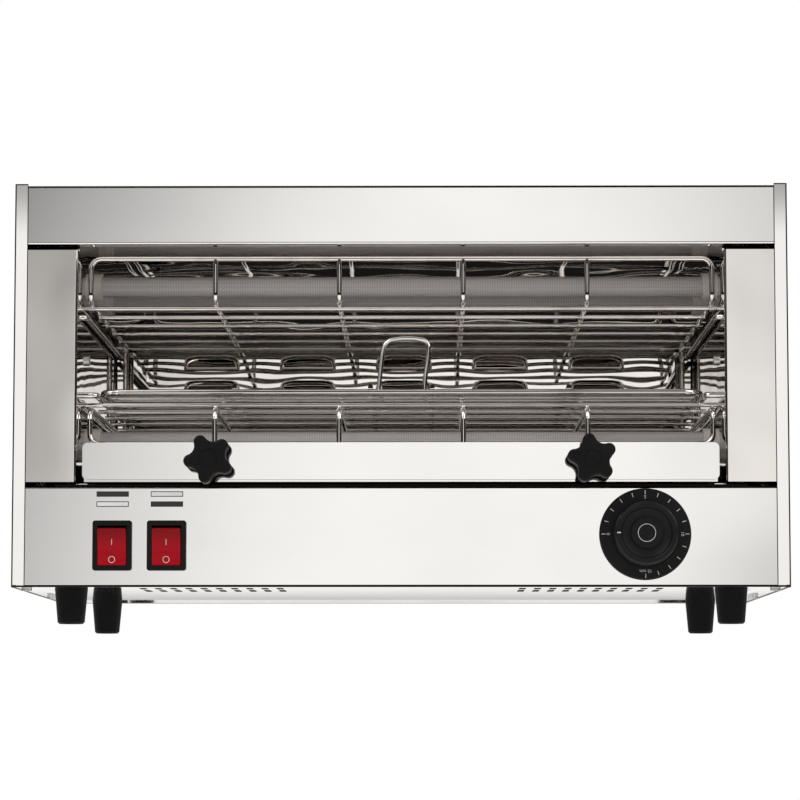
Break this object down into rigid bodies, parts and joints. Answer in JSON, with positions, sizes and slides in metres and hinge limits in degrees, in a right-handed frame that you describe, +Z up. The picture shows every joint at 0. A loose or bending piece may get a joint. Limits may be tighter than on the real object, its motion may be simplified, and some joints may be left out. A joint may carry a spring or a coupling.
{
  "type": "bar toaster",
  "caption": "Polished steel bar toaster with quartz tube heaters, wire guards, a pull-out rack, a crumb tray with star knobs, rocker switches and a timer dial.",
  "frame": {"origin": "on the table under the middle of the overall box, knobs and cable gland included", "axes": "+X to the right as seen from the front, +Y to the back, +Z up; the front faces -Y"},
  "size_m": [0.44, 0.2934, 0.25],
  "materials": {
    "polished_steel": "mirror polished stainless sheet",
    "lining_steel": "bright stainless oven lining",
    "plated_sheet": "zinc coated sheet",
    "bright_wire": "bright plated wire",
    "milky_quartz": "milky satin quartz",
    "heating_coil": "dull resistance wire",
    "cap_ceramic": "unglazed beige ceramic",
    "zinc_hardware": "bright zinc plated",
    "brass_insert": "turned brass",
    "black_knob": "satin black moulding",
    "dial_grey": "black dial",
    "black_gloss": "glossy black moulding",
    "red_rocker": "translucent red rocker",
    "foot_rubber": "black rubber",
    "case_polymer": "natural moulded insulation",
    "tin_blade": "tinned brass"
  },
  "bodies": {
    "cabinet": {"left_side_panel": "polished_steel", "right_side_panel": "polished_steel", "top_cover": "polished_steel", "control_panel": "polished_steel", "rear_panel": "polished_steel", "left_oven_wall": "lining_steel", "right_oven_wall": "lining_steel", "oven_floor": "lining_steel", "ceiling_reflector": "lining_steel", "louvred_back": "lining_steel", "base_panel": "plated_sheet", "upper_guard": "bright_wire", "lower_guard": "bright_wire", "left_rack_bracket": "bright_wire", "right_rack_bracket": "bright_wire", "upper_front_quartz_tube": "milky_quartz", "upper_rear_quartz_tube": "milky_quartz", "lower_front_quartz_tube": "milky_quartz", "lower_rear_quartz_tube": "milky_quartz", "upper_heating_coils": "heating_coil", "lower_heating_coils": "heating_coil", "upper_end_caps": "cap_ceramic", "lower_end_caps": "cap_ceramic", "tube_terminals": "zinc_hardware", "foot_screws": "zinc_hardware", "bottom_screws": "zinc_hardware", "rear_screws": "zinc_hardware", "oven_wall_screws": "zinc_hardware", "timer_case_screws": "zinc_hardware", "earth_stud": "zinc_hardware", "cable_gland": "black_knob", "gland_lock_nut": "black_knob", "timer_scale_disc": "dial_grey", "left_switch_housing": "black_gloss", "right_switch_housing": "black_gloss", "front_left_foot": "foot_rubber", "front_right_foot": "foot_rubber", "rear_left_foot": "foot_rubber", "rear_right_foot": "foot_rubber", "clockwork_case": "case_polymer", "terminal_block": "case_polymer", "switch_terminals": "tin_blade"},
    "rack": {"toasting_rack": "bright_wire", "rack_loop_handle": "bright_wire"},
    "tray": {"crumb_tray_pan": "lining_steel", "crumb_tray_front": "polished_steel", "tray_studs": "zinc_hardware"},
    "left_star": {"left_star_knob": "black_knob", "left_star_cap": "black_knob", "left_star_insert": "brass_insert"},
    "right_star": {"right_star_knob": "black_knob", "right_star_cap": "black_knob", "right_star_insert": "brass_insert"},
    "left_switch_rocker": {"left_rocker": "red_rocker"},
    "right_switch_rocker": {"right_rocker": "red_rocker"},
    "timer": {"timer_knob": "dial_grey", "timer_knob_cap": "black_gloss", "timer_shaft": "zinc_hardware"}
  },
  "joints": [
    {"name": "rack_slide", "type": "slide", "parent": "cabinet", "child": "rack", "axis": [0, -1, 0], "range_m": [0, 0.17]},
    {"name": "tray_slide", "type": "slide", "parent": "cabinet", "child": "tray", "axis": [0, -1, 0], "range_m": [0, 0.18]},
    {"name": "left_star_turn", "type": "hinge", "parent": "tray", "child": "left_star", "pos_m": [-0.1075, -0.13465, 0.09115], "axis": [0, 1, 0], "continuous": true},
    {"name": "right_star_turn", "type": "hinge", "parent": "tray", "child": "right_star", "pos_m": [0.1075, -0.13465, 0.09115], "axis": [0, 1, 0], "continuous": true},
    {"name": "left_switch_rock", "type": "hinge", "parent": "cabinet", "child": "left_switch_rocker", "pos_m": [-0.1628, -0.12235, 0.0434], "axis": [-1, 0, 0], "range_deg": [0, 16]},
    {"name": "right_switch_rock", "type": "hinge", "parent": "cabinet", "child": "right_switch_rocker", "pos_m": [-0.1321, -0.12235, 0.0434], "axis": [-1, 0, 0], "range_deg": [0, 16]},
    {"name": "timer_turn", "type": "hinge", "parent": "cabinet", "child": "timer", "pos_m": [0.1379, -0.12675, 0.0497], "axis": [0, 1, 0], "range_deg": [0, 270]}
  ]
}
